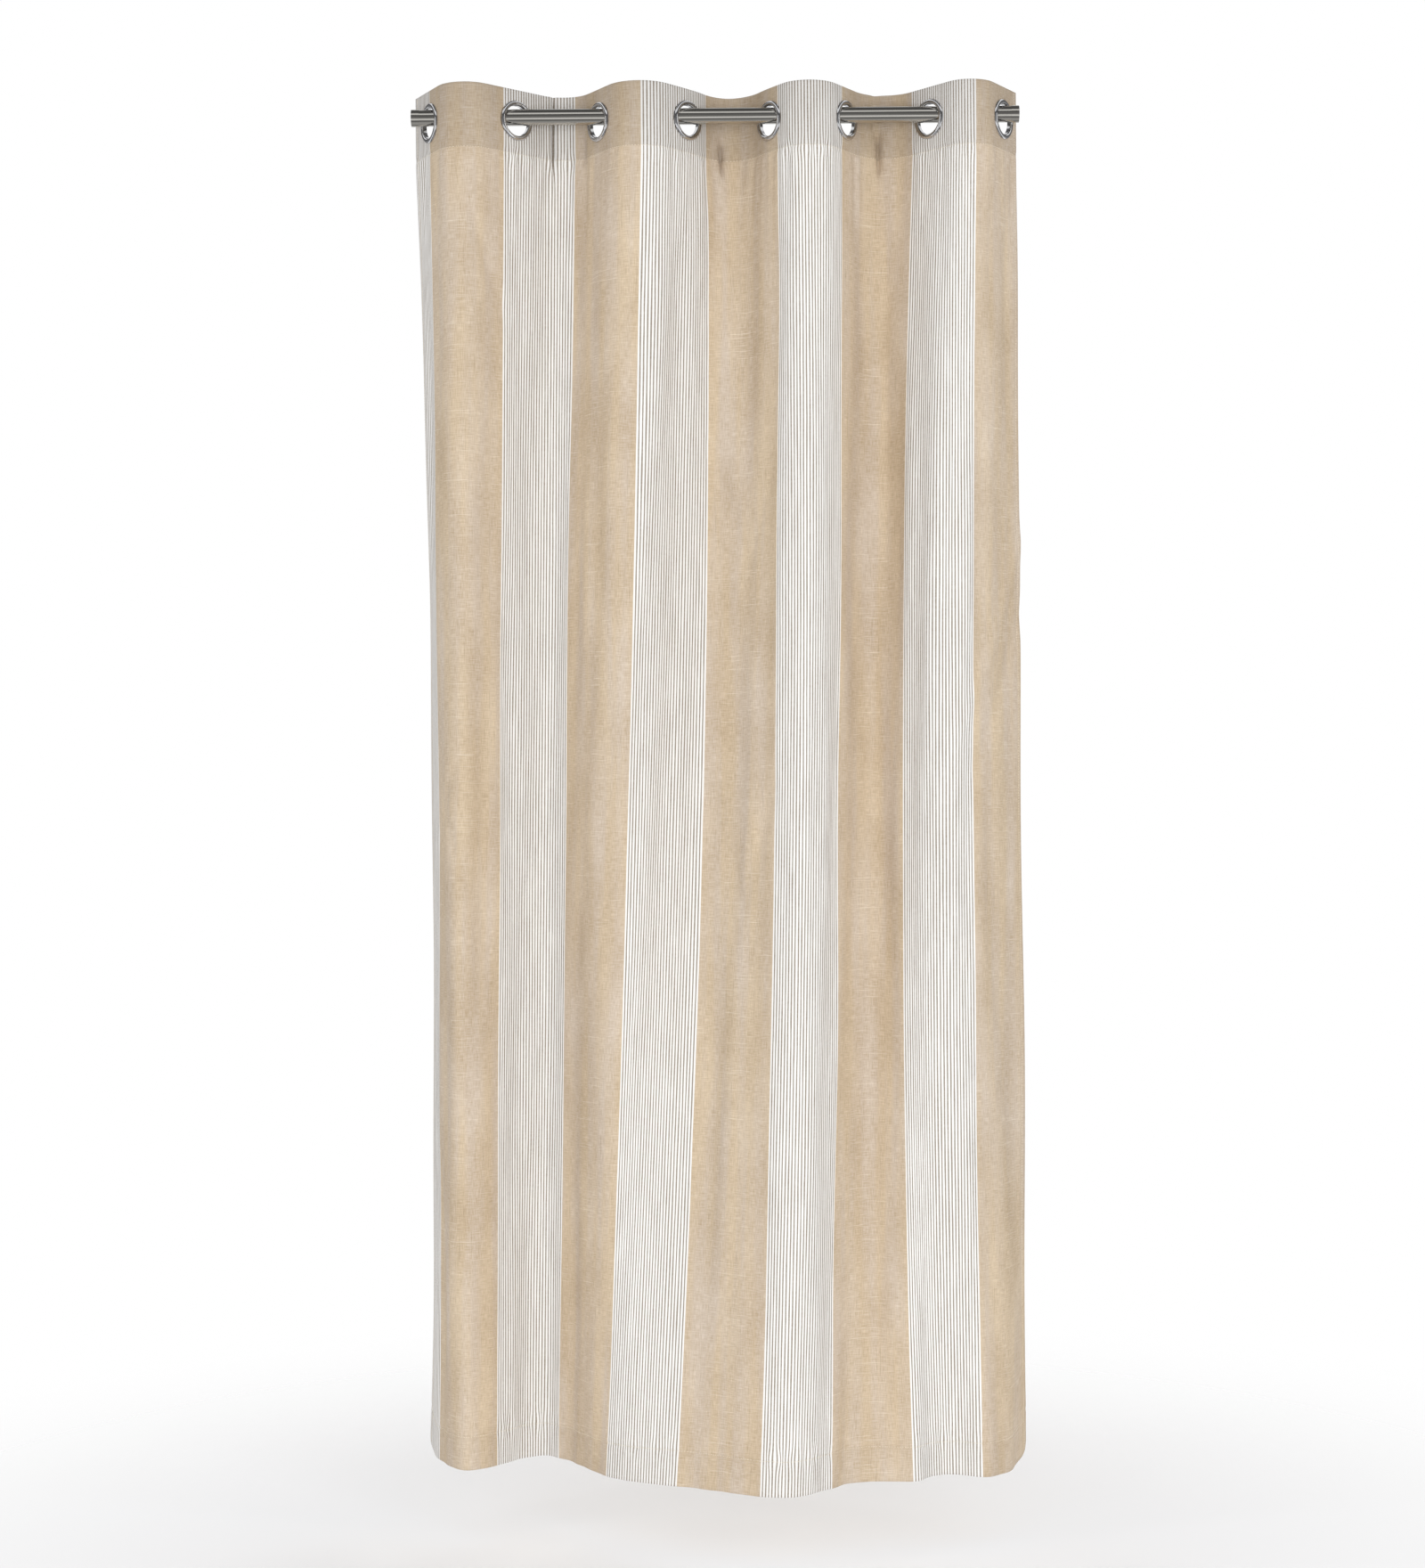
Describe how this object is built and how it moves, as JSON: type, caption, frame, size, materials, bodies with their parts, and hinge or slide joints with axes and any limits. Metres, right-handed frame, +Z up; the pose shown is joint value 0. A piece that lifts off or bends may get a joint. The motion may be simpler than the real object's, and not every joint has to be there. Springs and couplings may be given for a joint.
{
  "type": "eyelet curtain panel on a rod",
  "caption": "Striped woven curtain panel hanging in folds from a round steel rod that passes through its chrome eyelets; it draws to one side along the rod.",
  "frame": {"origin": "on the rod's axis at its left end", "axes": "+X along the rod to the right, +Y away from the viewer, +Z up; the panel hangs along -Z"},
  "size_m": [0.9521, 0.2926, 2.134],
  "materials": {
    "rod_steel": "satin nickel plated",
    "cap_steel": "satin nickel plated",
    "eyelet_chrome": "polished chrome plated",
    "curtain_cloth": "woven stripes, tan and white",
    "heading_tape": "stiff woven tape"
  },
  "bodies": {
    "root": {"rod_tube": "rod_steel", "rod_end_cap_left": "cap_steel", "rod_end_cap_right": "cap_steel", "curtain_strip_1": "curtain_cloth", "heading_tape_1": "heading_tape"},
    "fold_8": {"curtain_strip_8": "curtain_cloth", "heading_tape_8": "heading_tape"},
    "fold_7": {"curtain_strip_7": "curtain_cloth", "heading_tape_7": "heading_tape"},
    "fold_6": {"curtain_strip_6": "curtain_cloth", "heading_tape_6": "heading_tape"},
    "fold_5": {"curtain_strip_5": "curtain_cloth", "heading_tape_5": "heading_tape"},
    "fold_4": {"curtain_strip_4": "curtain_cloth", "heading_tape_4": "heading_tape"},
    "fold_3": {"curtain_strip_3": "curtain_cloth", "heading_tape_3": "heading_tape"},
    "fold_2": {"curtain_strip_2": "curtain_cloth", "heading_tape_2": "heading_tape"},
    "eyelet_1": {"eyelet_front_ring_1": "eyelet_chrome", "eyelet_back_ring_1": "eyelet_chrome"},
    "eyelet_2": {"eyelet_front_ring_2": "eyelet_chrome", "eyelet_back_ring_2": "eyelet_chrome"},
    "eyelet_3": {"eyelet_front_ring_3": "eyelet_chrome", "eyelet_back_ring_3": "eyelet_chrome"},
    "eyelet_4": {"eyelet_front_ring_4": "eyelet_chrome", "eyelet_back_ring_4": "eyelet_chrome"},
    "eyelet_5": {"eyelet_front_ring_5": "eyelet_chrome", "eyelet_back_ring_5": "eyelet_chrome"},
    "eyelet_6": {"eyelet_front_ring_6": "eyelet_chrome", "eyelet_back_ring_6": "eyelet_chrome"},
    "eyelet_7": {"eyelet_front_ring_7": "eyelet_chrome", "eyelet_back_ring_7": "eyelet_chrome"},
    "eyelet_8": {"eyelet_front_ring_8": "eyelet_chrome", "eyelet_back_ring_8": "eyelet_chrome"}
  },
  "joints": [
    {"name": "curtain_draw", "type": "slide", "parent": "root", "child": "fold_8", "axis": [-1, 0, 0], "range_m": [0, 0.5456], "deforming": ["curtain_strip_8", "heading_tape_8", "curtain_strip_1", "heading_tape_1"]},
    {"name": "fold_7_slide", "type": "slide", "parent": "root", "child": "fold_7", "axis": [-1, 0, 0], "range_m": [0, 0.47616], "deforming": ["curtain_strip_7", "heading_tape_7"]},
    {"name": "fold_6_slide", "type": "slide", "parent": "root", "child": "fold_6", "axis": [-1, 0, 0], "range_m": [0, 0.39618], "deforming": ["curtain_strip_6", "heading_tape_6"]},
    {"name": "fold_5_slide", "type": "slide", "parent": "root", "child": "fold_5", "axis": [-1, 0, 0], "range_m": [0, 0.32364], "deforming": ["curtain_strip_5", "heading_tape_5"]},
    {"name": "fold_4_slide", "type": "slide", "parent": "root", "child": "fold_4", "axis": [-1, 0, 0], "range_m": [0, 0.2449], "deforming": ["curtain_strip_4", "heading_tape_4"]},
    {"name": "fold_3_slide", "type": "slide", "parent": "root", "child": "fold_3", "axis": [-1, 0, 0], "range_m": [0, 0.16058], "deforming": ["curtain_strip_3", "heading_tape_3"]},
    {"name": "fold_2_slide", "type": "slide", "parent": "root", "child": "fold_2", "axis": [-1, 0, 0], "range_m": [0, 0.08184], "deforming": ["curtain_strip_2", "heading_tape_2"]},
    {"name": "eyelet_1_swivel", "type": "hinge", "parent": "root", "child": "eyelet_1", "pos_m": [0.029, 0, -0.008], "axis": [0, 0, 1], "range_deg": [-16.59, 0]},
    {"name": "eyelet_2_swivel", "type": "hinge", "parent": "fold_2", "child": "eyelet_2", "pos_m": [0.161, 0, -0.005], "axis": [0, 0, 1], "range_deg": [0, 24.84]},
    {"name": "eyelet_3_swivel", "type": "hinge", "parent": "fold_3", "child": "eyelet_3", "pos_m": [0.288, 0, -0.008], "axis": [0, 0, 1], "range_deg": [-18.65, 0]},
    {"name": "eyelet_4_swivel", "type": "hinge", "parent": "fold_4", "child": "eyelet_4", "pos_m": [0.424, 0, -0.0065], "axis": [0, 0, 1], "range_deg": [0, 23.12]},
    {"name": "eyelet_5_swivel", "type": "hinge", "parent": "fold_5", "child": "eyelet_5", "pos_m": [0.551, 0, -0.008], "axis": [0, 0, 1], "range_deg": [-19.63, 0]},
    {"name": "eyelet_6_swivel", "type": "hinge", "parent": "fold_6", "child": "eyelet_6", "pos_m": [0.668, 0, -0.008], "axis": [0, 0, 1], "range_deg": [0, 19.15]},
    {"name": "eyelet_7_swivel", "type": "hinge", "parent": "fold_7", "child": "eyelet_7", "pos_m": [0.797, 0, -0.007], "axis": [0, 0, 1], "range_deg": [-22.32, 0]},
    {"name": "eyelet_8_swivel", "type": "hinge", "parent": "fold_8", "child": "eyelet_8", "pos_m": [0.909, 0, -0.008], "axis": [0, 0, 1], "range_deg": [0, 18.65]}
  ],
  "couplings": [
    {"joint": "fold_7_slide", "follows": "curtain_draw", "ratio": 0.87273},
    {"joint": "fold_6_slide", "follows": "curtain_draw", "ratio": 0.72614},
    {"joint": "fold_5_slide", "follows": "curtain_draw", "ratio": 0.59318},
    {"joint": "fold_4_slide", "follows": "curtain_draw", "ratio": 0.44886},
    {"joint": "fold_3_slide", "follows": "curtain_draw", "ratio": 0.29432},
    {"joint": "fold_2_slide", "follows": "curtain_draw", "ratio": 0.15},
    {"joint": "eyelet_1_swivel", "follows": "curtain_draw", "rad_per_m": -0.53029},
    {"joint": "eyelet_2_swivel", "follows": "curtain_draw", "rad_per_m": 0.79426},
    {"joint": "eyelet_3_swivel", "follows": "curtain_draw", "rad_per_m": -0.59636},
    {"joint": "eyelet_4_swivel", "follows": "curtain_draw", "rad_per_m": 0.73932},
    {"joint": "eyelet_5_swivel", "follows": "curtain_draw", "rad_per_m": -0.62775},
    {"joint": "eyelet_6_swivel", "follows": "curtain_draw", "rad_per_m": 0.6122},
    {"joint": "eyelet_7_swivel", "follows": "curtain_draw", "rad_per_m": -0.71383},
    {"joint": "eyelet_8_swivel", "follows": "curtain_draw", "rad_per_m": 0.59636}
  ]
}
